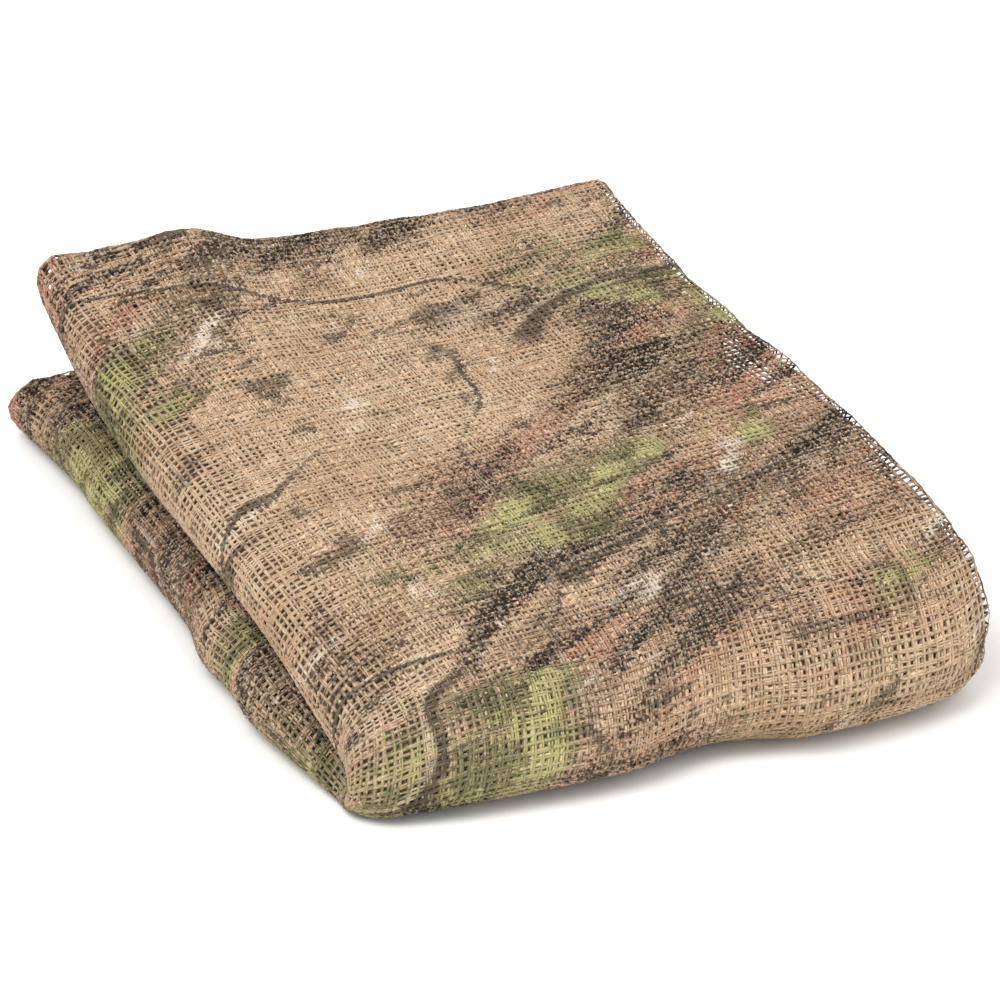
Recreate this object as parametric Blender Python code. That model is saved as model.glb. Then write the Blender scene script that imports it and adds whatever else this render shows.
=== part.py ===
"""A length of soft camouflage net, folded flat for storage: one sheet, one solid.

The net lies back and forth in layers between a left and a right edge. Its outer layer
wraps round the left edge, and the whole stack is then doubled over at the front, so that
a lower and an upper bundle meet in one fat bend. Behind the bend the two bundles spring
apart towards the back left. The front is -Y, the folded edge is -X and it rests on Z = 0.
"""
from math import cos, exp, hypot, pi, radians, sin

import bmesh
import bpy

MM = 0.001

# Driving sizes, in millimetres.
LAYERS = 6  # layers of each bundle
BUNDLE_THICK = 24.0  # typical thickness of one bundle
BUNDLE_WIDE = 212.0  # typical width of one bundle
CLOTH_SHARE = 0.55  # how much of the space from one layer to the next is cloth
CELLS_ACROSS = 9  # facets of a layer between its two edges
CELLS_INNER_FOLD = 4  # facets of a fold inside the bundle
CELLS_WRAP = 8  # facets of the outer layer's turn round the left edge
CELLS_LOWER = 10  # facets of the lower bundle, front to back
CELLS_BEND = 12  # facets round the front bend
CELLS_UPPER = 7  # facets of the upper bundle, front to back
TO_CENTRE = (3.97, 0.88)  # from the tables' own origin to the middle of the folded net

# The lower bundle from front to back: where it is, its two edges and the height of its upper face.
LOWER_ROWS = [
    # y, left edge, right edge, top at left, top at right
    (-117, -104, 107, 6, 13),
    (-90, -112, 111, 17, 19),
    (-70, -116, 111, 20, 21),
    (-50, -116, 111, 22, 22),
    (-30, -118, 110, 22, 23),
    (-10, -115, 109, 23, 24),
    (20, -115.5, 108, 23, 24.5),
    (50, -117, 107, 23, 25),
    (75, -118, 105.5, 22.5, 25),
    (100, -118, 104, 22.5, 25),
    (151, -124, 103, 20.5, 24),
]
# The upper bundle: its two edges, the height of its underside, and its left edge's lean out at the top.
UPPER_ROWS = [
    # y, left edge, right edge, underside at left, underside at right, lean
    (-117, -103, 114.5, 8, 15, 3),
    (-90, -106, 116.5, 20, 22, 3),
    (-55, -107, 115.5, 25, 25, 3),
    (0, -109, 113.5, 26, 27, 3),
    (50, -111, 106.5, 26, 28, 4),
    (100, -112, 103, 29, 30, 8),
    (148, -110, 103.5, 33, 32, 15),
]
# The height of the topmost layer, at these shares of the way from the left edge to the right one.
TOP_SHARES = (0.0, 0.14, 0.26, 0.36, 0.60, 0.80, 1.0)
TOP_ROWS = [
    # y, then the height at each share
    (-117, 31, 32, 32, 33, 36, 39, 40),
    (-90, 37, 38, 39, 39, 41, 44, 46),
    (-55, 42, 43, 43, 43, 44, 46, 48),
    (0, 46, 47, 47, 46, 47, 49, 50),
    (50, 51, 52, 51, 49, 50, 52, 53),
    (100, 58, 59, 58, 54, 54, 55, 56),
    (148, 70, 69, 70.5, 62, 59, 58, 60),
]
# The front bend: how far its outside reaches past its axis, uneven as the net was pressed.
BEND_SHARES = (0.0, 0.06, 0.20, 0.40, 0.53, 0.62, 0.70, 0.92, 1.0)
BEND_REACH = (13, 24, 37.5, 42.5, 37.5, 41.5, 48, 44.5, 31)
BEND_AXIS = -105.0  # where the bend's axis lies, over most of the width
BEND_AXIS_LEFT = -117.0  # and at the left edge, where the corner is squeezed forward
BEND_CORNER = 0.3  # the share of the width over which the axis swings forward
BEND_FOOT = 0.62  # below 1 the bend's lower half is squarer, as it is pressed on the floor
# The crease across the right half of the bend, where the outer layer is tucked under.
CREASE_DEEP = 2.6
CREASE_HALF_ANGLE = 13.0  # in degrees round the bend
CREASE_SHARES = (0.50, 0.62, 1.0)
CREASE_ANGLES = (-60.0, -32.0, 2.0)  # 0 points straight forward, -90 straight down

COLOUR = (0.39, 0.27, 0.15)
ROUGHNESS = 0.92


def through(places, values, place):
    """The smooth curve through the given values, read at one place."""
    if place <= places[0]:
        return values[0]
    if place >= places[-1]:
        return values[-1]
    last = len(places) - 1
    cell = max(i for i in range(last) if places[i] <= place)
    slopes = []
    for i in (cell, cell + 1):
        low, high = max(i - 1, 0), min(i + 1, last)
        slopes.append((values[high] - values[low]) / (places[high] - places[low]))
    span = places[cell + 1] - places[cell]
    t = (place - places[cell]) / span
    start = values[cell] * (2 * t**3 - 3 * t**2 + 1) + slopes[0] * span * (t**3 - 2 * t**2 + t)
    return start + values[cell + 1] * (3 * t**2 - 2 * t**3) + slopes[1] * span * (t**3 - t**2)


def from_rows(rows, column, y):
    """A table's column, read at y."""
    return through([row[0] for row in rows], [row[column] for row in rows], y)


def mix(a, b, share):
    return a + (b - a) * share


def top_height(across, y):
    """The height of the topmost layer at a share of the width and at y."""
    heights = [from_rows(TOP_ROWS, column + 1, y) for column in range(len(TOP_SHARES))]
    return through(TOP_SHARES, heights, across)


def bend_axis(across):
    corner = max(0.0, 1 - across / BEND_CORNER)
    return BEND_AXIS + (BEND_AXIS_LEFT - BEND_AXIS) * corner**2


def in_lower(across, depth, back):
    """A point of the lower bundle. Depth is 0 on the face between the bundles and 1 outside."""
    y = mix(bend_axis(across), LOWER_ROWS[-1][0], back)
    x = mix(from_rows(LOWER_ROWS, 1, y), from_rows(LOWER_ROWS, 2, y), across)
    top = mix(from_rows(LOWER_ROWS, 3, y), from_rows(LOWER_ROWS, 4, y), across)
    return x, y, top * (1 - depth)


def in_upper(across, depth, back):
    """A point of the upper bundle, counted as in the lower one."""
    y = mix(bend_axis(across), UPPER_ROWS[-1][0], back)
    x = mix(from_rows(UPPER_ROWS, 1, y), from_rows(UPPER_ROWS, 2, y), across)
    lean = from_rows(UPPER_ROWS, 5, y) * max(0.0, 1 - 4 * across)
    under = mix(from_rows(UPPER_ROWS, 3, y), from_rows(UPPER_ROWS, 4, y), across)
    return x - lean * (depth - 0.5), y, mix(under, top_height(across, y), depth)


def crease(across, angle):
    """How deep the crease is, at an angle round the bend given in degrees."""
    if across <= CREASE_SHARES[0]:
        return 0.0
    middle = through(CREASE_SHARES, CREASE_ANGLES, across)
    fade = min(1.0, (across - CREASE_SHARES[0]) / (CREASE_SHARES[1] - CREASE_SHARES[0]))
    return fade * CREASE_DEEP * exp(-(((angle - middle) / CREASE_HALF_ANGLE) ** 2))


def in_bend(across, depth, turn):
    """A point of the front bend. Turn runs from 0 at the lower bundle to 1 at the upper one."""
    low, high = in_lower(across, depth, 0), in_upper(across, depth, 0)
    inner_low, inner_high = in_lower(across, 0, 0)[2], in_upper(across, 0, 0)[2]
    axis_height = (inner_low + inner_high) / 2
    angle = mix(-90.0, 90.0, turn)
    forward, up = cos(radians(angle)), sin(radians(angle))
    reach = through(BEND_SHARES, BEND_REACH, across) - crease(across, angle)
    reach = mix(inner_high - inner_low, reach, depth)
    half_height = high[2] - axis_height if up > 0 else axis_height - low[2]
    forward = forward if up > 0 else abs(forward) ** BEND_FOOT
    y = bend_axis(across) - reach * forward
    return mix(low[0], high[0], (1 + up) / 2), y, axis_height + half_height * up


def half_turn(middle_x, low, high, side, cells):
    """The points between the two ends of a fold, from height low to height high."""
    radius = (high - low) / 2
    steps = [pi * i / cells for i in range(1, cells)]
    return [(middle_x + side * abs(radius) * sin(a), (low + high) / 2 - radius * cos(a)) for a in steps]


def layer_line():
    """The middle of the cloth in the bundle's section: (distance from the left edge, height)."""
    half_cloth = BUNDLE_THICK / LAYERS * CLOTH_SHARE / 2
    step = (BUNDLE_THICK - 2 * half_cloth) / (LAYERS - 1)
    heights = [half_cloth + step * k for k in range(LAYERS)]
    wrap_radius = (heights[-1] - heights[0]) / 2
    left = wrap_radius + half_cloth
    right = BUNDLE_WIDE - step / 2 - half_cloth
    rightward = [mix(left, right, i / CELLS_ACROSS) for i in range(CELLS_ACROSS + 1)]
    line = [(x, heights[0]) for x in reversed(rightward)]
    line += half_turn(left, heights[0], heights[-1], -1, CELLS_WRAP)
    line += [(x, heights[-1]) for x in rightward]
    for count, k in enumerate(range(LAYERS - 2, 0, -1)):
        side = 1 if count % 2 == 0 else -1
        start = right if side > 0 else left
        line += half_turn(start, heights[k + 1], heights[k], side, CELLS_INNER_FOLD)
        line += [(x, heights[k]) for x in (reversed(rightward) if side > 0 else rightward)]
    return line


def section_ring():
    """The section's closed outline: up one face of the cloth and back down the other."""
    line = layer_line()
    half_cloth = BUNDLE_THICK / LAYERS * CLOTH_SHARE / 2
    one_face, other_face = [], []
    for i, (x, z) in enumerate(line):
        before, after = line[max(i - 1, 0)], line[min(i + 1, len(line) - 1)]
        along_x, along_z = after[0] - before[0], after[1] - before[1]
        length = hypot(along_x, along_z)
        off_x, off_z = -along_z / length * half_cloth, along_x / length * half_cloth
        one_face.append((x + off_x, z + off_z))
        other_face.append((x - off_x, z - off_z))
    ring = one_face + other_face[::-1]
    return [(x / BUNDLE_WIDE, z / BUNDLE_THICK) for x, z in ring]


def strip_stations():
    """From the lower bundle's back end, round the bend, to the upper bundle's back end."""
    stations = [(in_lower, 1 - i / CELLS_LOWER) for i in range(CELLS_LOWER)]
    stations += [(in_bend, i / CELLS_BEND) for i in range(CELLS_BEND)]
    return stations + [(in_upper, i / CELLS_UPPER) for i in range(CELLS_UPPER + 1)]


def folded_net():
    """The folded net as one closed solid."""
    ring = section_ring()
    count = len(ring)
    bm = bmesh.new()
    rings = []
    for shape, share in strip_stations():
        corners = []
        for across, depth in ring:
            x, y, z = shape(across, depth, share)
            corners.append(bm.verts.new(((x + TO_CENTRE[0]) * MM, (y + TO_CENTRE[1]) * MM, z * MM)))
        rings.append(corners)
    for near, far in zip(rings, rings[1:]):
        for i in range(count):
            j = (i + 1) % count
            bm.faces.new((near[i], near[j], far[j], far[i]))
    for end in (rings[0], rings[-1]):
        for i in range(count // 2 - 1):
            bm.faces.new((end[i], end[i + 1], end[count - 2 - i], end[count - 1 - i]))
    bmesh.ops.recalc_face_normals(bm, faces=bm.faces[:])
    bmesh.ops.triangulate(bm, faces=bm.faces[:])
    mesh = bpy.data.meshes.new("net")
    bm.to_mesh(mesh)
    bm.free()
    mesh.shade_smooth()
    mesh.set_sharp_from_angle(angle=radians(50))
    return mesh


def cotton_net():
    """The soft tan cotton of the net, with the print's average colour."""
    material = bpy.data.materials.new("cotton_net")
    material.use_nodes = True
    shader = material.node_tree.nodes["Principled BSDF"]
    shader.inputs["Base Color"].default_value = (*COLOUR, 1.0)
    shader.inputs["Roughness"].default_value = ROUGHNESS
    shader.inputs["Metallic"].default_value = 0.0
    return material


def main():
    for old in list(bpy.data.objects):
        bpy.data.objects.remove(old, do_unlink=True)
    net = bpy.data.objects.new("net", folded_net())
    net.data.materials.append(cotton_net())
    bpy.context.scene.collection.objects.link(net)


main()
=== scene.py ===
"""A soft camouflage net, folded flat: the yarns, the print and the studio.

The net is one cloth. Every yarn is placed by two cloth coordinates, in metres: how far it is
along the back and forth fold, counted from the loose end under the upper bundle, and how far
it is along the strip, counted from the lower bundle's back end, round the front bend, to the
upper bundle's back end. The print is painted in the same two coordinates, so it runs on over
every fold.
"""
from math import cos, pi, radians, sin

import bmesh
import bpy
import numpy as np
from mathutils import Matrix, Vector


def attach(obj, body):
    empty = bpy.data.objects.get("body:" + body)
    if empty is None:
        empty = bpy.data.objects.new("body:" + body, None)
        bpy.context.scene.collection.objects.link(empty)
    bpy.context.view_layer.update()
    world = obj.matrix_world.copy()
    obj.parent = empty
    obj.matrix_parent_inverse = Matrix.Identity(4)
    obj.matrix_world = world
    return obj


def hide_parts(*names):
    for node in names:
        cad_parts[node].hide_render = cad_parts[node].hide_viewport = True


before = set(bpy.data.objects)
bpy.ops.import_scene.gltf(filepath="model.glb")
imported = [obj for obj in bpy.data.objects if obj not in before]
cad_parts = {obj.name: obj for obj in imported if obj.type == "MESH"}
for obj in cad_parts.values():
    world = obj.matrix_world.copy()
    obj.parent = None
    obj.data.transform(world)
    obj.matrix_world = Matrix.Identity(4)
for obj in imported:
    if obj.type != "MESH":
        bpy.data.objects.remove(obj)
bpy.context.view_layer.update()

MM = 0.001

# The folded form, in millimetres, as the solid has it.
BUNDLE_THICK = 24.0
BUNDLE_WIDE = 212.0
TO_CENTRE = (3.97, 0.88)
LOWER_ROWS = [
    # y, left edge, right edge, top at left, top at right
    (-117, -104, 107, 6, 13),
    (-90, -112, 111, 17, 19),
    (-70, -116, 111, 20, 21),
    (-50, -116, 111, 22, 22),
    (-30, -118, 110, 22, 23),
    (-10, -115, 109, 23, 24),
    (20, -115.5, 108, 23, 24.5),
    (50, -117, 107, 23, 25),
    (75, -118, 105.5, 22.5, 25),
    (100, -118, 104, 22.5, 25),
    (151, -124, 103, 20.5, 24),
]
UPPER_ROWS = [
    # y, left edge, right edge, underside at left, underside at right, lean
    (-117, -103, 114.5, 8, 15, 3),
    (-90, -106, 116.5, 20, 22, 3),
    (-55, -107, 115.5, 25, 25, 3),
    (0, -109, 113.5, 26, 27, 3),
    (50, -111, 106.5, 26, 28, 4),
    (100, -112, 103, 29, 30, 8),
    (148, -110, 103.5, 33, 32, 15),
]
TOP_SHARES = (0.0, 0.14, 0.26, 0.36, 0.60, 0.80, 1.0)
TOP_ROWS = [
    # y, then the height at each share
    (-117, 31, 32, 32, 33, 36, 39, 40),
    (-90, 37, 38, 39, 39, 41, 44, 46),
    (-55, 42, 43, 43, 43, 44, 46, 48),
    (0, 46, 47, 47, 46, 47, 49, 50),
    (50, 51, 52, 51, 49, 50, 52, 53),
    (100, 58, 59, 58, 54, 54, 55, 56),
    (148, 70, 69, 70.5, 62, 59, 58, 60),
]
BEND_SHARES = (0.0, 0.06, 0.20, 0.40, 0.53, 0.62, 0.70, 0.92, 1.0)
BEND_REACH = (13, 24, 37.5, 42.5, 37.5, 41.5, 48, 44.5, 31)
BEND_AXIS = -105.0
BEND_AXIS_LEFT = -117.0
BEND_CORNER = 0.3
BEND_FOOT = 0.62
CREASE_DEEP = 2.6
CREASE_HALF_ANGLE = 13.0
CREASE_SHARES = (0.50, 0.62, 1.0)
CREASE_ANGLES = (-60.0, -32.0, 2.0)

# The weave, in millimetres.
LAYERS = 12  # layers of each bundle that are modelled
PITCH = 2.56  # from yarn to yarn
YARN_WIDE = 1.2
YARN_THICK = 0.5
YARN_WAVE = 0.16  # how far a yarn rises and sinks at a crossing
WEFT_SKEW = 0.15  # the weft yarns run a little slantwise to the fold
WEFT_BOW = 0.0005  # and bow back towards the right edge
WARP_LEAN = 11.0  # the warp yarns lean sideways round the front bend
PROUD = 0.6  # how far the outer layer lies outside the section's line, so that it meets the form's surface
NEXT_LAYER = 0.28  # from one layer to the next
INNER_YARN = 1.2  # how wide the deeper layers' yarns are beside the outer ones
STRAY = 0.26  # how far a whole yarn lies off its place
WANDER = 0.32  # how far a yarn wanders along its length
WANDER_REACH = 4  # over how many crossings
FLOOR_GAP = 0.75  # the least height of a yarn's middle above the floor
INNER_INSET = 2.5  # how far the inner layers stay inside the right edge
THIN_PLACES = (
    # how far behind the bend, half length, how much further the inner layers are drawn in
    (119, 26, 15),
    (42, 13, 7),
)
OPEN_EDGE_SLIM = 0.15  # how much thinner the yarns are drawn where the cloth turns over the open edge
OPEN_EDGE_REACH = 16.0
END_TURN = 1.3  # the radius on which the cloth turns in at either end of the strip
INNER_END_TURN = 0.7

# The sheet that stands for the layers deep inside.
SHEET_LAYERS = 6
SHEET_THICK = 1.2
SHEET_SHARE = 0.5  # how much of the space from one layer to the next is cloth
SHEET_FOLD_CELLS = 4
SHEET_CELLS = (14, 70)  # across a layer, and along the strip
SHEET_INSET_ENDS = 6.0
SHEET_INSET_LEFT = 0.01  # as a share of the width
SHEET_INSET_DEEP = 0.045  # as a share of the thickness, at the top and at the bottom

# Which parts of the layers can be seen, in millimetres of cloth.
TURNED_UNDER_LOWER = 34  # of the outer layer under the lower bundle
TURNED_UNDER_UPPER = 18  # and under the upper one
WRAP_UNDER = 8  # of the next layers, before the turn round the left edge
WRAP_OVER = 14  # and after it
OPEN_EDGE_TURN = 4  # just round the fold at the right edge
FOLD_SEEN = 6.5  # either side of an inner fold
END_SEEN = 7.0  # of each inner layer at the strip's ends
JOIN_BEFORE_BEND = 10  # where the pieces of a layer meet
JOIN_BEHIND_BEND = 40
PAST_END = 4  # how far the inner layers' ends run on


def through(places, values, at):
    """The smooth curve through the given values, read at each place in an array."""
    places = np.asarray(places, float)
    flat = np.clip(np.ravel(at), places[0], places[-1])
    values = np.asarray(values, float).reshape(len(places), -1)
    values = np.broadcast_to(values, (len(places), flat.size))
    slopes = np.empty_like(values)
    slopes[1:-1] = (values[2:] - values[:-2]) / (places[2:] - places[:-2])[:, None]
    slopes[0] = (values[1] - values[0]) / (places[1] - places[0])
    slopes[-1] = (values[-1] - values[-2]) / (places[-1] - places[-2])
    cell = np.clip(np.searchsorted(places, flat, side="right") - 1, 0, len(places) - 2)
    each = np.arange(flat.size)
    span = places[cell + 1] - places[cell]
    t = (flat - places[cell]) / span
    start = values[cell, each] * (2 * t**3 - 3 * t**2 + 1)
    end = values[cell + 1, each] * (3 * t**2 - 2 * t**3)
    bend = slopes[cell, each] * (t**3 - 2 * t**2 + t) + slopes[cell + 1, each] * (t**3 - t**2)
    return (start + end + bend * span).reshape(np.shape(at))


def from_rows(rows, column, y):
    return through([row[0] for row in rows], [row[column] for row in rows], y)


def mix(a, b, share):
    return a + (b - a) * share


def top_height(across, y):
    heights = [np.ravel(from_rows(TOP_ROWS, column + 1, y)) for column in range(len(TOP_SHARES))]
    return through(TOP_SHARES, heights, across)


def bend_axis(across):
    return BEND_AXIS + (BEND_AXIS_LEFT - BEND_AXIS) * np.clip(1 - across / BEND_CORNER, 0, None) ** 2


def in_lower(across, depth, back):
    y = mix(bend_axis(across), LOWER_ROWS[-1][0], back)
    x = mix(from_rows(LOWER_ROWS, 1, y), from_rows(LOWER_ROWS, 2, y), across)
    top = mix(from_rows(LOWER_ROWS, 3, y), from_rows(LOWER_ROWS, 4, y), across)
    return np.stack([x, y, top * (1 - depth)], -1)


def in_upper(across, depth, back):
    y = mix(bend_axis(across), UPPER_ROWS[-1][0], back)
    x = mix(from_rows(UPPER_ROWS, 1, y), from_rows(UPPER_ROWS, 2, y), across)
    lean = from_rows(UPPER_ROWS, 5, y) * np.clip(1 - 4 * across, 0, None)
    under = mix(from_rows(UPPER_ROWS, 3, y), from_rows(UPPER_ROWS, 4, y), across)
    return np.stack([x - lean * (depth - 0.5), y, mix(under, top_height(across, y), depth)], -1)


def crease(across, angle):
    middle = through(CREASE_SHARES, CREASE_ANGLES, across)
    fade = np.clip((across - CREASE_SHARES[0]) / (CREASE_SHARES[1] - CREASE_SHARES[0]), 0, 1)
    return fade * CREASE_DEEP * np.exp(-(((angle - middle) / CREASE_HALF_ANGLE) ** 2))


def in_bend(across, depth, turn):
    none = np.zeros_like(across)
    low, high = in_lower(across, depth, none), in_upper(across, depth, none)
    inner_low, inner_high = in_lower(across, none, none)[..., 2], in_upper(across, none, none)[..., 2]
    axis_height = (inner_low + inner_high) / 2
    angle = mix(-90.0, 90.0, turn)
    forward, up = np.cos(np.radians(angle)), np.sin(np.radians(angle))
    reach = through(BEND_SHARES, BEND_REACH, across) - crease(across, angle)
    reach = mix(inner_high - inner_low, reach, depth)
    half_height = np.where(up > 0, high[..., 2] - axis_height, axis_height - low[..., 2])
    forward = np.where(up > 0, forward, np.abs(forward) ** BEND_FOOT)
    x = mix(low[..., 0], high[..., 0], (1 + up) / 2)
    return np.stack([x, bend_axis(across) - reach * forward, axis_height + half_height * up], -1)


def folded(across, depth, station):
    """Points of the pack, in metres.

    Station 0 to 1 is the lower bundle, 1 to 2 the bend and 2 to 3 the upper bundle.
    """
    across, depth, station = np.broadcast_arrays(across, depth, station)
    points = np.empty(station.shape + (3,))
    for shape, share, here in (
        (in_lower, 1 - station, station < 1),
        (in_bend, station - 1, (station >= 1) & (station < 2)),
        (in_upper, station - 2, station >= 2),
    ):
        if here.any():
            points[here] = shape(across[here], depth[here], share[here])
    return (points + np.array([*TO_CENTRE, 0.0])) * MM


class Section:
    """The back and forth line of the cloth across a bundle, measured along the cloth."""

    def __init__(self, layers, cloth_share, round_steps):
        half_cloth = BUNDLE_THICK / layers * cloth_share / 2
        step = (BUNDLE_THICK - 2 * half_cloth) / (layers - 1)
        heights = [half_cloth + step * k for k in range(layers)]
        left = (heights[-1] - heights[0]) / 2 + half_cloth
        right = BUNDLE_WIDE - step / 2 - half_cloth
        line = [(right, heights[0]), (left, heights[0])]
        line += self.half_turn(left, heights[0], heights[-1], -1, 3 * round_steps)
        line += [(left, heights[-1]), (right, heights[-1])]
        self.corners = [0, 1, len(line) - 2, len(line) - 1]
        for count, k in enumerate(range(layers - 2, 0, -1)):
            side = 1 if count % 2 == 0 else -1
            start, end = (right, left) if side > 0 else (left, right)
            line += self.half_turn(start, heights[k + 1], heights[k], side, round_steps)
            line += [(start, heights[k]), (end, heights[k])]
            self.corners += [len(line) - 2, len(line) - 1]
        line = np.array(line)
        self.run = np.concatenate([[0], np.cumsum(np.linalg.norm(np.diff(line, axis=0), axis=1))])
        self.across, self.depth = line[:, 0] / BUNDLE_WIDE, line[:, 1] / BUNDLE_THICK
        self.corners = self.run[self.corners]  # where each layer starts and ends, along the cloth

    @staticmethod
    def half_turn(middle, low, high, side, steps):
        radius = (high - low) / 2
        angles = [pi * i / steps for i in range(1, steps)]
        return [(middle + side * abs(radius) * sin(a), (low + high) / 2 - radius * cos(a)) for a in angles]

    def place(self, along):
        return np.interp(along, self.run, self.across), np.interp(along, self.run, self.depth)


SECTION = Section(LAYERS, 0.8, 8)


def strip_length():
    """Stations of the strip against the length along its outer face, at mid-width."""
    stations = np.linspace(0, 3, 601)
    points = folded(0.5, 1.0, stations) / MM
    run = np.concatenate([[0], np.cumsum(np.linalg.norm(np.diff(points, axis=0), axis=1))])
    return stations, run


STATIONS, STRIP_RUN = strip_length()
STRIP_END = STRIP_RUN[-1]
BEND_START, BEND_END = np.interp([1, 2], STATIONS, STRIP_RUN)


def to_the_edge(strip):
    return np.ones_like(strip)


def short_of_edge(strip):
    """The share of the width that the second layer reaches."""
    return np.full_like(strip, 1 - INNER_INSET / BUNDLE_WIDE)


def drawn_in(strip):
    """The share of the width that the inner layers reach: less in two places, where light comes through."""
    short = sum(deep * np.exp(-(((strip - BEND_END - back) / half) ** 2)) for back, half, deep in THIN_PLACES)
    return 1 - (INNER_INSET + short) / BUNDLE_WIDE


def on_cloth(along, strip, below, reach, end_turn):
    """Points of the net at two cloth coordinates, in millimetres, and which way its face looks.

    below is how far the layer lies under the section's line, and reach gives the share of the width that the
    layer takes up. Past either end of the strip the cloth turns in on the radius end_turn and runs back below
    itself.
    """
    past = np.maximum(strip - STRIP_END + end_turn, 0) - np.maximum(end_turn - strip, 0)
    angle = np.clip(past / end_turn, -pi, pi)
    tail = past - end_turn * angle
    strip = strip - past + end_turn * np.sin(angle) - tail

    def place(step_along, step_strip):
        across, depth = SECTION.place(along + step_along)
        return folded(across * reach(strip), depth, np.interp(strip + step_strip, STRIP_RUN, STATIONS))

    to_side = place(0.4, 0) - place(-0.4, 0)
    to_back = place(0, 0.4) - place(0, -0.4)
    outward = unit(np.cross(to_side, to_back))
    angle = angle[..., None]
    points = place(0, 0) - (below + end_turn * (1 - np.cos(angle))) * MM * outward
    points[..., 2] = np.maximum(points[..., 2], FLOOR_GAP * MM)
    return points, np.cos(angle) * outward + np.sin(angle) * unit(to_back)


def unit(vectors):
    return vectors / np.maximum(np.linalg.norm(vectors, axis=-1, keepdims=True), 1e-12)


def smooth_random(rng, rows, columns, reach):
    """Rows of random numbers about 0 that change slowly along each row."""
    raw = rng.normal(size=(rows, columns + 2 * reach))
    window = np.hanning(2 * reach + 1)
    window /= np.sqrt((window**2).sum())
    return np.array([np.convolve(row, window, "same")[reach : reach + columns] for row in raw])


def woven(
    name,
    along_from,
    along_to,
    strips,
    kept,
    seed,
    below=0.0,
    reach=to_the_edge,
    end_turn=END_TURN,
    further=0.0,
    full=1.0,
):
    """The yarns of one stretch of the net, as pieces that meet at a weft yarn.

    strips has the lengths at which the pieces start and end, kept says which crossings show, further is how
    much further along the cloth the print is read, and full is how wide the yarns are beside the outer ones.
    """
    rng = np.random.default_rng(seed)
    warps = np.arange(np.ceil(along_from / PITCH), np.floor(along_to / PITCH) + 1)
    first_weft = np.floor((strips[0] - WEFT_SKEW * along_to) / PITCH)
    last_weft = np.ceil((strips[-1] - WEFT_SKEW * along_from) / PITCH)
    wefts = np.arange(first_weft, last_weft + 1)
    rows, columns = len(warps), len(wefts)
    along = np.repeat((warps * PITCH)[:, None], columns, 1)
    strip = wefts[None, :] * PITCH + WEFT_SKEW * along
    # Uneven spacing: each yarn lies a little off, and wanders.
    along = along + STRAY * rng.normal(size=(rows, 1))
    along = along + WANDER * smooth_random(rng, rows, columns, WANDER_REACH)
    strip = strip + STRAY * rng.normal(size=(1, columns))
    strip = strip + WANDER * smooth_random(rng, columns, rows, WANDER_REACH).T
    # Slow waves, as handling leaves them: how far they push, and over what length.
    along = along + 1.6 * np.sin(strip / 31 + 0.7) * np.sin(along / 47)
    strip = strip + 1.8 * np.sin(along / 38 + 2.1) + 1.1 * np.sin(along / 17 + strip / 60)
    strip = strip - WEFT_BOW * np.clip(along - SECTION.corners[2], 0, BUNDLE_WIDE) ** 2
    along = along + WARP_LEAN * through((0, BEND_START, BEND_END, STRIP_END), (0, 0, 1, 0), strip)
    points, outward = on_cloth(along, strip, below, reach, end_turn)
    # The cloth is pulled thin where it turns over the open edge.
    slim = full - OPEN_EDGE_SLIM * np.exp(-(((along - SECTION.corners[3]) / OPEN_EDGE_REACH) ** 2))
    slim = slim[..., None] ** (1, 0, 0)
    look = {
        "outward": outward,
        "cloth": np.stack([(along + further) * MM, strip * MM, np.zeros_like(along)], -1),
        "warp_look": yarn_look(rng, rows, columns) * slim,
        "weft_look": yarn_look(rng, columns, rows).swapaxes(0, 1) * slim,
    }
    # The third place says which yarn is on top at each crossing.
    over = np.where((warps[:, None] + wefts) % 2 == 0, 1, -1)
    look["warp_look"][..., 2] = look["weft_look"][..., 2] = over
    inside = (strip > strips[0]) & (strip < strips[-1]) & kept(along, strip)
    middle = strip[rows // 2]
    made = []
    start = 0
    for number, until in enumerate(strips[1:], 1):
        end = columns - 1 if number == len(strips) - 1 else int(np.searchsorted(middle, until))
        part = slice(start, end + 1)
        look_here = {key: value[:, part] for key, value in look.items()}
        made.append(weave_piece(f"{name}_{number}", points[:, part], look_here, inside[:, part], number > 1))
        start = end
    return made


def yarn_look(rng, yarns, crossings):
    """Each yarn's relative thickness and shade, uneven along it."""
    thick = 1 + 0.15 * smooth_random(rng, yarns, crossings, 2) + 0.10 * rng.normal(size=(yarns, 1))
    shade = 0.5 * rng.normal(size=(yarns, 1)) + 0.8 * smooth_random(rng, yarns, crossings, 1)
    return np.stack([np.clip(thick, 0.6, 1.45), np.broadcast_to(shade, thick.shape), thick], -1)


def grid_mesh(name, rows, columns, places):
    """A grid of faces whose corners are moved to the given places, and each corner's row and column."""
    bm = bmesh.new()
    bmesh.ops.create_grid(bm, x_segments=rows - 1, y_segments=columns - 1, size=0.5)
    mesh = bpy.data.meshes.new(name)
    bm.to_mesh(mesh)
    bm.free()
    spots = np.empty(len(mesh.vertices) * 3, np.float32)
    mesh.vertices.foreach_get("co", spots)
    spots = spots.reshape(-1, 3) + 0.5
    row = np.rint(spots[:, 0] * (rows - 1)).astype(int)
    column = np.rint(spots[:, 1] * (columns - 1)).astype(int)
    mesh.vertices.foreach_set("co", places[row, column].astype(np.float32).ravel())
    return mesh, row, column


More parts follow.
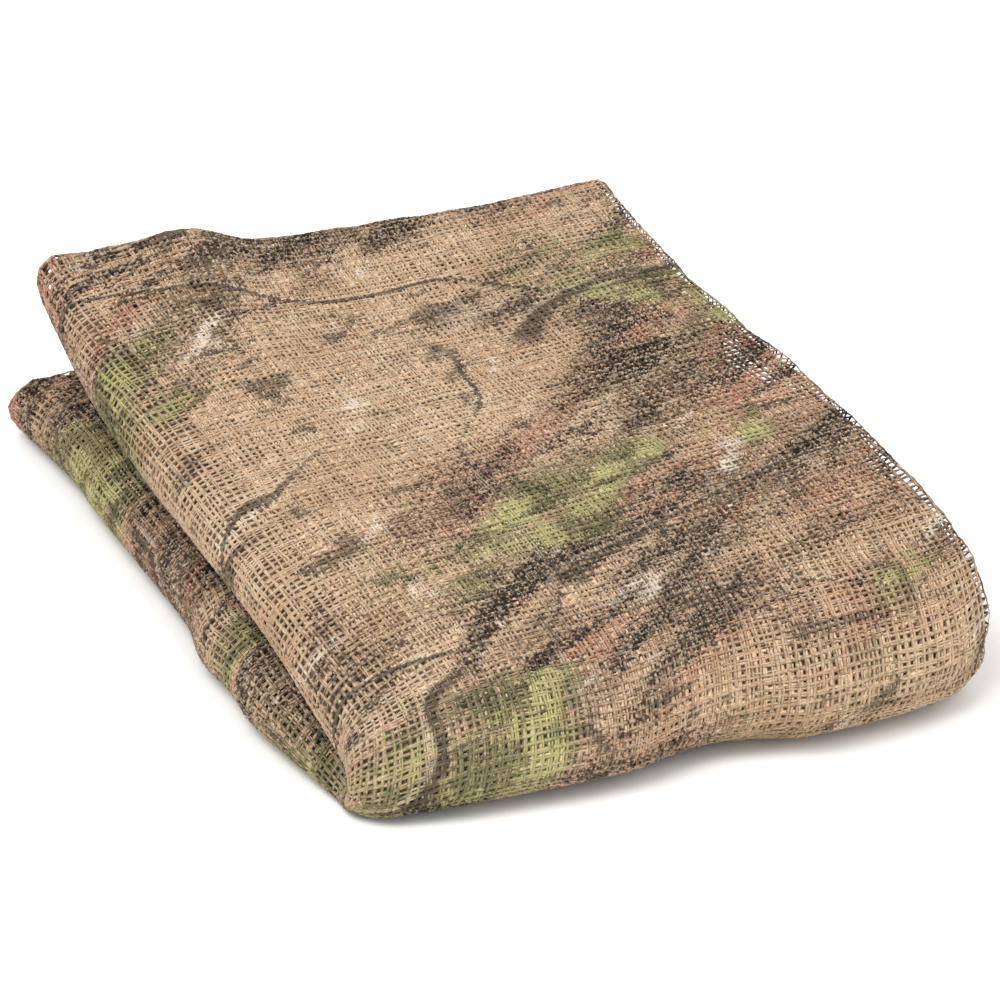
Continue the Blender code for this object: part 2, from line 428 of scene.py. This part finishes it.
def weave_piece(name, points, look, inside, joined):
    """Turns a lattice of crossings into two families of yarns that pass over and under each other."""
    mesh, row, column = grid_mesh(name, *points.shape[:2], points)
    for key, value in look.items():
        store = mesh.attributes.new(key, "FLOAT_VECTOR", "POINT")
        store.data.foreach_set("vector", value[row, column].astype(np.float32).ravel())
    ends = np.empty(len(mesh.edges) * 2, np.int32)
    mesh.edges.foreach_get("vertices", ends)
    ends = ends.reshape(-1, 2)
    kept = inside[row, column][ends].all(1)
    is_warp = row[ends[:, 0]] == row[ends[:, 1]]
    # The weft yarn at a join belongs to the piece before it.
    is_weft = ~is_warp & ~(joined & (column[ends[:, 0]] == 0))
    for key, value in (("is_warp", is_warp & kept), ("is_weft", is_weft & kept)):
        store = mesh.attributes.new(key, "BOOLEAN", "EDGE")
        store.data.foreach_set("value", value)
    holder = bpy.data.objects.new(name, mesh)
    bpy.context.scene.collection.objects.link(holder)
    holder.modifiers.new("woven yarns", "NODES").node_group = yarns_from_lattice()
    graph = bpy.context.evaluated_depsgraph_get()
    yarns = bpy.data.meshes.new_from_object(holder.evaluated_get(graph), depsgraph=graph)
    bpy.data.objects.remove(holder, do_unlink=True)
    bpy.data.meshes.remove(mesh)
    cloth, side, is_weft = (np.empty(len(yarns.vertices) * size, np.float32) for size in (3, 1, 1))
    yarns.attributes["cloth"].data.foreach_get("vector", cloth)
    yarns.attributes["side"].data.foreach_get("value", side)
    yarns.attributes["family"].data.foreach_get("value", is_weft)
    cloth = cloth.reshape(-1, 3)
    # In the map for a bake the yarns are as wide as they are, with the weft laid beside the warp.
    flat = cloth[:, :2].copy()
    flat[:, 0] += (1 - is_weft) * side * YARN_WIDE / 2 * MM + is_weft * (np.ptp(flat[:, 0]) + PITCH * MM)
    flat[:, 1] += is_weft * side * YARN_WIDE / 2 * MM
    for key in ("outward", "warp_look", "weft_look", "is_warp", "is_weft", "family"):
        if key in yarns.attributes:
            yarns.attributes.remove(yarns.attributes[key])
    yarns.name = name
    yarns.materials.clear()
    yarns.shade_smooth()
    return cloth_piece(name, yarns, cloth, flat)


def yarns_from_lattice():
    """The node group that draws the yarns along the lattice's edges."""
    tree = bpy.data.node_groups.get("woven_yarns")
    if tree:
        return tree
    tree = bpy.data.node_groups.new("woven_yarns", "GeometryNodeTree")
    tree.interface.new_socket("Geometry", in_out="INPUT", socket_type="NodeSocketGeometry")
    tree.interface.new_socket("Geometry", in_out="OUTPUT", socket_type="NodeSocketGeometry")
    lattice = add(tree, "NodeGroupInput").outputs[0]

    read, store = "GeometryNodeInputNamedAttribute", "GeometryNodeStoreNamedAttribute"
    on_points = {"domain": "POINT", "data_type": "FLOAT"}
    # The outline is a triangle: the yarn's crown, then its two flanks.
    outline = {"Resolution": 3, "Radius": 0.5 * MM}
    outline = add(tree, "GeometryNodeCurvePrimitiveCircle", outline, mode="RADIUS")
    stretch = (YARN_THICK / 0.75, YARN_WIDE / sin(pi / 3), 1.0)
    outline = add(tree, "GeometryNodeTransform", {"Geometry": outline.outputs[0], "Scale": stretch})
    place = add(tree, "ShaderNodeSeparateXYZ", {0: add(tree, "GeometryNodeInputPosition").outputs[0]})
    side = {0: place.outputs[1], 1: 2 / (YARN_WIDE * MM)}
    side = add(tree, "ShaderNodeMath", side, operation="MULTIPLY").outputs[0]
    outline = add(tree, store, {"Geometry": outline.outputs[0], "Name": "side", "Value": side}, **on_points)
    outward = add(tree, read, {"Name": "outward"}, data_type="FLOAT_VECTOR").outputs[0]
    cloth = add(tree, read, {"Name": "cloth"}, data_type="FLOAT_VECTOR").outputs[0]
    cloth = add(tree, "ShaderNodeSeparateXYZ", {0: cloth})
    together = add(tree, "GeometryNodeJoinGeometry")
    for family, rises in (("warp", 1), ("weft", -1)):
        look = add(tree, read, {"Name": f"{family}_look"}, data_type="FLOAT_VECTOR").outputs[0]
        look = add(tree, "ShaderNodeSeparateXYZ", {0: look})
        rise = {0: look.outputs[2], 1: rises * YARN_WAVE * MM}
        rise = add(tree, "ShaderNodeMath", rise, operation="MULTIPLY")
        offset = add(tree, "ShaderNodeVectorMath", {0: outward, 3: rise.outputs[0]}, operation="SCALE")
        place = {0: cloth.outputs[0], 1: cloth.outputs[1], 2: look.outputs[1]}
        place = add(tree, "ShaderNodeCombineXYZ", place)
        named = {"Geometry": lattice, "Name": "cloth", "Value": place.outputs[0]}
        named = add(tree, store, named, domain="POINT", data_type="FLOAT_VECTOR")
        moved = {"Geometry": named.outputs[0], "Offset": offset.outputs[0]}
        moved = add(tree, "GeometryNodeSetPosition", moved)
        chosen = add(tree, read, {"Name": f"is_{family}"}, data_type="BOOLEAN").outputs[0]
        lines = add(tree, "GeometryNodeMeshToCurve", {"Mesh": moved.outputs[0], "Selection": chosen})
        framed = add(
            tree, "GeometryNodeSetCurveNormal", {"Curve": lines.outputs[0], "Normal": outward}, mode="FREE"
        )
        tubes = add(
            tree,
            "GeometryNodeCurveToMesh",
            {
                "Curve": framed.outputs[0],
                "Profile Curve": outline.outputs[0],
                "Scale": look.outputs[0],
                "Fill Caps": True,
            },
        )
        tubes = {"Geometry": tubes.outputs[0], "Name": "family", "Value": float(family == "weft")}
        tubes = add(tree, store, tubes, **on_points)
        tree.links.new(tubes.outputs[0], together.inputs[0])
    add(tree, "NodeGroupOutput", {0: together.outputs[0]})
    return tree


def cloth_piece(name, mesh, cloth, flat):
    """An object from a mesh, with its cloth coordinates as an attribute and flat as its map for a bake."""
    cloth = np.asarray(cloth, np.float32)
    place = mesh.attributes.get("cloth") or mesh.attributes.new("cloth", "FLOAT_VECTOR", "POINT")
    place.data.foreach_set("vector", cloth.ravel())
    corner = np.empty(len(mesh.loops), np.int32)
    mesh.loops.foreach_get("vertex_index", corner)
    low, high = flat.min(0), flat.max(0)
    for old in list(mesh.uv_layers):
        mesh.uv_layers.remove(old)
    bake_map = mesh.uv_layers.new(name="OFBake")
    bake_map.uv.foreach_set("vector", ((flat[corner] - low) / (high - low) * 0.98 + 0.01).ravel())
    piece = bpy.data.objects.new(name, mesh)
    bpy.context.scene.collection.objects.link(piece)
    return piece


# Materials.


def linear(code):
    """A colour given as an sRGB hex code, as linear light."""
    parts = [int(code[i : i + 2], 16) / 255 for i in (1, 3, 5)]
    return (*[c / 12.92 if c <= 0.04045 else ((c + 0.055) / 1.055) ** 2.4 for c in parts], 1.0)


def add(tree, kind, inputs=(), **settings):
    """Adds a node with its settings; each input is a value or the socket that feeds it."""
    made = tree.nodes.new(kind)
    for key, value in settings.items():
        setattr(made, key, value)
    for key, value in dict(inputs).items():
        if isinstance(value, bpy.types.NodeSocket):
            tree.links.new(value, made.inputs[key])
        else:
            made.inputs[key].default_value = value
    return made


UNPRINTED = "#C1A487"  # the cotton's own dyed ground
DEEP_GROUND_PAINTED_WARMER = "#CCAE8B"  # the same cotton's ground for the deeper layers, painted lighter and warmer: painted light, for what passes through the layers above

# The print, in millimetres of cloth. Each ink covers patches of its own length, width and direction where a
# noise passes the cut. Its edge is soft by its own amount, and the speckle breaks it up from yarn to yarn.
INKS = (
    # name, colour, strength, long, wide, turn, cut, soft, speckle, detail, moved, within
    ("thicket", "#B89B7E", 1.0, 300, 140, 38, 0.47, 0.04, 0.16, 3.0, 6.7, None),
    ("dry_grass", "#CDB598", 0.8, 70, 45, 35, 0.50, 0.14, 0.12, 3.0, 2.1, None),
    ("cream_flecks", "#EBDFCB", 0.3, 6, 4, 0, 0.60, 0.08, 0.20, 2.0, 9.6, None),
    ("pink_flecks", "#CC9783", 0.25, 9, 6, 0, 0.60, 0.08, 0.20, 2.0, 7.2, None),
    ("dark_flecks", "#7A6450", 0.45, 2.4, 1.4, 30, 0.60, 0.06, 0.00, 1.0, 8.3, None),
    ("dry_leaves", "#A98B6C", 0.45, 60, 30, 30, 0.57, 0.08, 0.20, 5.0, 14.1, None),
    ("gloom", "#5F4A37", 0.82, 120, 45, 40, 0.52, 0.07, 0.30, 7.0, 13.0, "thicket"),
    ("rust", "#B07461", 0.6, 110, 30, 38, 0.545, 0.08, 0.20, 4.0, 18.8, "thicket"),
    ("bark", "#3C2F27", 0.97, 95, 24, 35, 0.55, 0.04, 0.26, 8.0, 5.4, "thicket"),
    ("hollows", "#281E17", 0.97, 75, 22, 34, 0.56, 0.04, 0.24, 7.0, 5.1, "thicket"),
    ("bark_flecks", "#D2C1AC", 0.5, 1.6, 1.0, 0, 0.585, 0.05, 0.00, 1.0, 5.4, "thicket"),
    ("dark_spots", "#4F463B", 0.75, 26, 15, 20, 0.65, 0.04, 0.22, 3.0, 14.7, None),
    ("lichen", "#E6DCCE", 0.8, 40, 18, 42, 0.69, 0.04, 0.20, 4.0, 13.2, None),
    ("undergrowth", "#7F7B55", 0.9, 130, 90, 0, 0.60, 0.03, 0.10, 3.0, 6.1, "thicket"),
    ("leaves", "#B8B57E", 0.9, 36, 14, 60, 0.49, 0.03, 0.16, 3.0, 13.7, "undergrowth"),
    ("leaf_shade", "#43422F", 0.85, 24, 13, 15, 0.55, 0.03, 0.16, 3.0, 7.9, "undergrowth"),
)
TWIGS = (
    # spacing, turn, sway as a share of the spacing, half thickness, moved
    (130, 32, 0.55, 1.5, 15.6),
    (175, 58, 0.6, 1.3, 11.9),
    (200, -14, 0.5, 1.3, 4.5),
)
TWIG = "#50463B"
TWIG_LIT = "#DCCDB8"
GRAIN = 1.7  # the speckle's patches: about one crossing of two yarns


def on_print(tree, place, long, wide, turn, moved, detail):
    """Noise in patches of a length and a width, turned on the cloth."""
    spot = {"Location": (moved, 2 * moved, 0.0), "Rotation": (0.0, 0.0, radians(turn))}
    spot.update({"Vector": place, "Scale": (long * MM, wide * MM, 1.0)})
    moved_place = add(tree, "ShaderNodeMapping", spot, vector_type="TEXTURE").outputs[0]
    spread = {"Vector": moved_place, "Scale": 1.0, "Detail": detail, "Roughness": 0.6, "Distortion": 0.4}
    return add(tree, "ShaderNodeTexNoise", spread, noise_dimensions="2D").outputs[0]


def speckled(tree, value, grain, speckle):
    """The value, a little higher or lower from yarn to yarn."""
    off = add(tree, "ShaderNodeMath", {0: grain, 1: 0.5}, operation="SUBTRACT").outputs[0]
    return add(tree, "ShaderNodeMath", {0: off, 1: speckle, 2: value}, operation="MULTIPLY_ADD").outputs[0]


def lay_ink(tree, under, colour, value, low, high, strength, within=None):
    """One ink laid over what is printed already, where the value passes from low to high; also its cover."""
    rise = {"Value": value, "From Min": low, "From Max": high, "To Max": strength}
    cover = add(tree, "ShaderNodeMapRange", rise).outputs[0]
    if within is not None:
        cover = add(tree, "ShaderNodeMath", {0: cover, 1: within}, operation="MULTIPLY").outputs[0]
    inked = add(tree, "ShaderNodeMix", {0: cover, 6: under, 7: linear(colour)}, data_type="RGBA").outputs[2]
    return inked, cover


def lay_twigs(tree, colour, place, grain, spacing, turn, sway, half, moved):
    """Twigs side by side at their spacing, swayed by a slow noise and broken into lengths by another.

    Each is a dark line with a thin pale one along its lit side.
    """
    spot = {"Vector": place, "Rotation": (0.0, 0.0, radians(turn))}
    spot["Scale"] = (spacing * MM, spacing * MM, 1.0)
    turned = add(tree, "ShaderNodeMapping", spot, vector_type="TEXTURE").outputs[0]
    lane = add(tree, "ShaderNodeSeparateXYZ", {0: turned}).outputs[1]
    bend = on_print(tree, place, 1.5 * spacing, 0.9 * spacing, turn, moved, 2.0)
    lane = {0: bend, 1: 2 * sway, 2: lane}
    lane = add(tree, "ShaderNodeMath", lane, operation="MULTIPLY_ADD").outputs[0]
    lane = add(tree, "ShaderNodeMath", {0: lane}, operation="FRACT").outputs[0]
    off = add(tree, "ShaderNodeMath", {0: lane, 1: 0.5}, operation="SUBTRACT").outputs[0]
    side = add(tree, "ShaderNodeMath", {0: off}, operation="ABSOLUTE").outputs[0]
    half = half / spacing
    side = speckled(tree, side, grain, half)
    gaps = on_print(tree, place, spacing, 0.6 * spacing, turn, moved + 1.4, 2.0)
    broken = {"Value": gaps, "From Min": 0.44, "From Max": 0.52}
    broken = add(tree, "ShaderNodeMapRange", broken).outputs[0]
    lit = add(tree, "ShaderNodeMath", {0: off, 1: -1.6 * half}, operation="ADD").outputs[0]
    lit = add(tree, "ShaderNodeMath", {0: lit}, operation="ABSOLUTE").outputs[0]
    colour, _ = lay_ink(tree, colour, TWIG_LIT, lit, 0.8 * half, 0.4 * half, 0.3, broken)
    colour, _ = lay_ink(tree, colour, TWIG, side, 1.2 * half, 0.7 * half, 0.85, broken)
    return colour


def camouflage_print(tree):
    """The print in cloth coordinates: the inks in their order, then the twigs over them."""
    read = add(tree, "ShaderNodeAttribute", attribute_name="cloth")
    apart = add(tree, "ShaderNodeSeparateXYZ", {0: read.outputs["Vector"]})
    place = add(tree, "ShaderNodeCombineXYZ", {0: apart.outputs[0], 1: apart.outputs[1]}).outputs[0]
    grain = on_print(tree, place, GRAIN, GRAIN, 0, 2.2, 1.0)
    colour = linear(UNPRINTED)
    covers = {None: None}
    for name, ink, strength, long, wide, turn, cut, soft, speckle, detail, moved, within in INKS:
        value = speckled(tree, on_print(tree, place, long, wide, turn, moved, detail), grain, speckle)
        laid = lay_ink(tree, colour, ink, value, cut - soft, cut + soft, strength, covers[within])
        colour, covers[name] = laid
    for twigs in TWIGS:
        colour = lay_twigs(tree, colour, place, grain, *twigs)
    return colour, place, apart.outputs[2]


def new_material(name, roughness, sheen):
    material = bpy.data.materials.new(name)
    material.use_nodes = True
    shader = material.node_tree.nodes["Principled BSDF"]
    shader.inputs["Roughness"].default_value = roughness
    shader.inputs["Sheen Weight"].default_value = sheen
    shader.inputs["Sheen Roughness"].default_value = 0.6
    shader.inputs["Specular IOR Level"].default_value = 0.2
    return material, material.node_tree, shader


def cotton_yarn(name, ground, ink, light, painted_flank_shade):
    """Soft spun cotton, printed after weaving: matt, a little fuzzy, uneven in dye.

    ink is how much of the print shows, light scales the yarn's colour as painted light (lighter for the
    deeper layers, against the shade between them), and the flank colour is the painted shade that the fuzz
    leaves of the light beside the yarn's crown.
    """
    material, tree, shader = new_material(name, 0.9, 0.05)
    colour, flat, shade = camouflage_print(tree)
    colour = add(tree, "ShaderNodeMix", {0: ink, 6: linear(ground), 7: colour}, data_type="RGBA").outputs[2]
    # Each yarn took the dye a little differently, and its fibres lie unevenly; the dye's range is also scaled
    # by light, a painted lightening or darkening of the whole layer.
    fine = on_print(tree, flat, 1.1, 0.8, 0, 5.4, 1.0)
    dye = {"Value": shade, "From Min": -2, "From Max": 2, "To Min": 0.92 * light, "To Max": 1.08 * light}
    lie = {"Value": fine, "From Min": 0.3, "From Max": 0.7, "To Min": 0.94, "To Max": 1.06}
    dye = add(tree, "ShaderNodeMapRange", dye).outputs[0]
    lie = add(tree, "ShaderNodeMapRange", lie).outputs[0]
    uneven = add(tree, "ShaderNodeMath", {0: dye, 1: lie}, operation="MULTIPLY").outputs[0]
    shaded = add(tree, "ShaderNodeVectorMath", {0: colour, 3: uneven}, operation="SCALE").outputs[0]
    # A yarn's crown is left at full colour, while both flanks are painted darker and warmer by the flank
    # colour: painted shade and a painted highlight, standing in for the light the crown catches and the shade
    # the fuzz casts.
    side = add(tree, "ShaderNodeAttribute", attribute_name="side").outputs["Fac"]
    off_crown = add(tree, "ShaderNodeMath", {0: side}, operation="ABSOLUTE").outputs[0]
    painted_flank_shading = {0: off_crown, 6: shaded, 7: linear(painted_flank_shade)}
    shaded = add(tree, "ShaderNodeMix", painted_flank_shading, data_type="RGBA", blend_type="MULTIPLY").outputs[2]
    tree.links.new(shaded, shader.inputs["Base Color"])
    place = add(tree, "ShaderNodeTexCoord").outputs["Object"]
    fibre = add(tree, "ShaderNodeTexNoise", {"Vector": place, "Scale": 1 / 0.0009, "Detail": 2.0})
    bump = add(tree, "ShaderNodeBump", {"Strength": 0.3, "Distance": 0.0003, "Height": fibre.outputs[0]})
    tree.links.new(bump.outputs[0], shader.inputs["Normal"])
    return material


def layers_below():
    """The same printed net many layers deep: the print on a weave too close to tell its yarns apart, painted
    darker between the yarns as painted shade.
    """
    material, tree, shader = new_material("cotton_net_layers_below", 0.95, 0.0)
    colour, place, _ = camouflage_print(tree)
    apart = add(tree, "ShaderNodeSeparateXYZ", {0: place})
    waves = []
    for axis in (0, 1):
        angle = {0: apart.outputs[axis], 1: 2 * pi / (PITCH * MM)}
        angle = add(tree, "ShaderNodeMath", angle, operation="MULTIPLY")
        wave = add(tree, "ShaderNodeMath", {0: angle.outputs[0]}, operation="SINE")
        waves.append(add(tree, "ShaderNodeMapRange", {"Value": wave.outputs[0], "From Min": -1}).outputs[0])
    weave = add(tree, "ShaderNodeMath", {0: waves[0], 1: waves[1]}, operation="MAXIMUM").outputs[0]
    # Painted shade and light: the colour is darker between the yarns and lighter on them, as the weave's
    # relief would be lit.
    lit = add(tree, "ShaderNodeMapRange", {"Value": weave, "To Min": 0.7, "To Max": 1.15}).outputs[0]
    shaded = add(tree, "ShaderNodeVectorMath", {0: colour, 3: lit}, operation="SCALE").outputs[0]
    tree.links.new(shaded, shader.inputs["Base Color"])
    bump = add(tree, "ShaderNodeBump", {"Strength": 1.0, "Distance": 0.0008, "Height": weave})
    tree.links.new(bump.outputs[0], shader.inputs["Normal"])
    return material


def folded_cloth(name, layers, across_cells, strip_cells, inset):
    """The pack's inner layers as one thin sheet, folded back and forth, drawn in from the yarns outside."""
    section = Section(layers, SHEET_SHARE, SHEET_FOLD_CELLS)
    stops = []
    for start, end in zip(section.corners[::2], section.corners[1::2]):
        stops += list(np.linspace(start, end, across_cells + 1))
    turns = [r for r in section.run if not any(abs(r - s) < 0.01 for s in stops)]
    along = np.unique(np.round(np.array(stops + turns), 3))
    strip = np.linspace(inset, STRIP_END - inset, strip_cells + 1)
    across, depth = section.place(along)
    across = mix(SHEET_INSET_LEFT, 1.0, across)
    depth = mix(SHEET_INSET_DEEP, 1 - SHEET_INSET_DEEP, depth)
    stations = np.interp(strip, STRIP_RUN, STATIONS)
    points = folded(across[:, None] * drawn_in(strip)[None, :], depth[:, None], stations[None, :])
    mesh, i, j = grid_mesh(name, len(along), len(strip), points)
    mesh.shade_smooth()
    cloth = np.column_stack([along[i] * MM, strip[j] * MM, np.zeros(len(i))])
    piece = cloth_piece(name, mesh, cloth, cloth[:, :2])
    thick = piece.modifiers.new("cloth thickness", "SOLIDIFY")
    thick.thickness = SHEET_THICK * MM
    thick.offset = 0.0
    return piece, (along[-1] * MM, STRIP_END * MM)


def net():
    # The face of the print, then where it soaked through to the next layer, then the cloth's reverse, paler
    # from its weaker print. The deeper layers are also painted lighter, against the shade that falls between
    # the layers, and carry less painted shade on their flanks.
    face = cotton_yarn("cotton_yarn_spun_printed", UNPRINTED, 1.0, 0.82, "#EEE5D9")
    soaked_painted_lighter = cotton_yarn("cotton_yarn_print_soaked_through_painted_lighter", DEEP_GROUND_PAINTED_WARMER, 0.85, 0.97, "#F2EBE0")
    back = cotton_yarn("cotton_yarn_reverse_of_print_painted_lighter", DEEP_GROUND_PAINTED_WARMER, 0.6, 1.15, "#FFFFFF")
    inner, flat = folded_cloth("folded_net_inner_layers", SHEET_LAYERS, *SHEET_CELLS, SHEET_INSET_ENDS)
    inner.data.materials.append(layers_below())
    wrap_start, wrap_end, top_end = SECTION.corners[1:4]
    right_folds = (SECTION.corners[3:-2:4] + SECTION.corners[4:-1:4]) / 2
    before_bend = BEND_START - JOIN_BEFORE_BEND
    behind_bend = BEND_END + JOIN_BEHIND_BEND

    def outer(along, strip):
        under = np.where(strip < BEND_START, TURNED_UNDER_LOWER, TURNED_UNDER_UPPER)
        return along > wrap_start - under

    def everywhere(along, strip):
        return np.ones(along.shape, bool)

    def edges(along, strip):
        near_fold = np.abs(along[..., None] - right_folds).min(-1) < FOLD_SEEN
        return near_fold | (strip < END_SEEN) | (strip > STRIP_END - END_SEEN)

    outer_pieces = woven(
        "outer_yarns",
        wrap_start - TURNED_UNDER_LOWER,
        top_end + OPEN_EDGE_TURN,
        (-2 * PAST_END, before_bend, behind_bend, STRIP_END + 2 * PAST_END),
        outer,
        11,
        below=-PROUD,
    )
    upper_strips = (before_bend, behind_bend, STRIP_END + PAST_END)
    second_pieces = woven(
        "second_layer_yarns",
        wrap_start - WRAP_UNDER,
        top_end,
        upper_strips,
        everywhere,
        12,
        below=NEXT_LAYER - PROUD,
        reach=short_of_edge,
    )
    wrap = (wrap_start - WRAP_UNDER, wrap_end + WRAP_OVER, (-PAST_END, before_bend), everywhere)
    second_pieces += woven("wrap_second_yarns", *wrap, 16, below=NEXT_LAYER - PROUD)
    lower_pieces = woven("wrap_third_yarns", *wrap, 17, below=2 * NEXT_LAYER - PROUD)
    for name, seed, deep, further in (("third", 13, 2, 0.0), ("fourth", 15, 3, BUNDLE_WIDE)):
        lower_pieces += woven(
            f"{name}_layer_yarns",
            wrap_end,
            top_end,
            upper_strips,
            everywhere,
            seed,
            below=deep * NEXT_LAYER - PROUD,
            reach=drawn_in,
            further=further,
            full=INNER_YARN,
        )
    lower_pieces += woven(
        "inner_fold_yarns",
        top_end + 3 * OPEN_EDGE_TURN,
        SECTION.run[-1],
        (-PAST_END, (BEND_START + BEND_END) / 2, STRIP_END + PAST_END),
        edges,
        14,
        reach=drawn_in,
        end_turn=INNER_END_TURN,
    )
    for made, finish in ((outer_pieces, face), (second_pieces, soaked_painted_lighter), (lower_pieces, back)):
        for piece in made:
            piece.data.materials.append(finish)
    pieces = outer_pieces + second_pieces + lower_pieces
    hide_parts("net")
    for piece in [inner, *pieces]:
        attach(piece, "root")


def studio():
    bm = bmesh.new()
    bmesh.ops.create_grid(bm, x_segments=1, y_segments=1, size=3.0)
    mesh = bpy.data.meshes.new("studio_floor")
    bm.to_mesh(mesh)
    bm.free()
    floor = bpy.data.objects.new("studio_floor", mesh)
    bpy.context.scene.collection.objects.link(floor)
    material, tree, shader = new_material("paper_backdrop_matt", 0.9, 0.0)
    shader.inputs["Base Color"].default_value = linear("#F4F3F1")
    mesh.materials.append(material)
    world = bpy.data.worlds.new("soft_studio_light")
    world.use_nodes = True
    back = world.node_tree.nodes["Background"]
    back.inputs[0].default_value = (1.0, 1.0, 1.0, 1.0)
    back.inputs[1].default_value = 0.96
    bpy.context.scene.world = world
    for name, place, size, power in (
        ("soft_key", (-0.9, -0.5, 1.7), 1.0, 24.0),
        ("soft_fill", (1.2, -1.0, 1.4), 1.2, 9.0),
    ):
        light = bpy.data.lights.new(name, "AREA")
        light.size = size
        light.energy = power
        lamp = bpy.data.objects.new(name, light)
        lamp.location = place
        lamp.rotation_euler = (-Vector(place)).to_track_quat("-Z", "Y").to_euler()
        bpy.context.scene.collection.objects.link(lamp)


def camera():
    azimuth, elevation, distance = radians(-23), radians(29.5), 1.6
    target = Vector((TO_CENTRE[0] * MM, TO_CENTRE[1] * MM, 0.025))
    toward = Vector((sin(azimuth) * cos(elevation), -cos(azimuth) * cos(elevation), sin(elevation)))
    data = bpy.data.cameras.new("camera")
    data.sensor_width = 36.0
    data.lens = 172.8
    eye = bpy.data.objects.new("camera", data)
    eye.location = target + toward * distance
    eye.rotation_euler = (-toward).to_track_quat("-Z", "Y").to_euler()
    bpy.context.scene.collection.objects.link(eye)
    bpy.context.scene.camera = eye


camera()
net()
studio()
bpy.context.scene.view_settings.view_transform = "Standard"
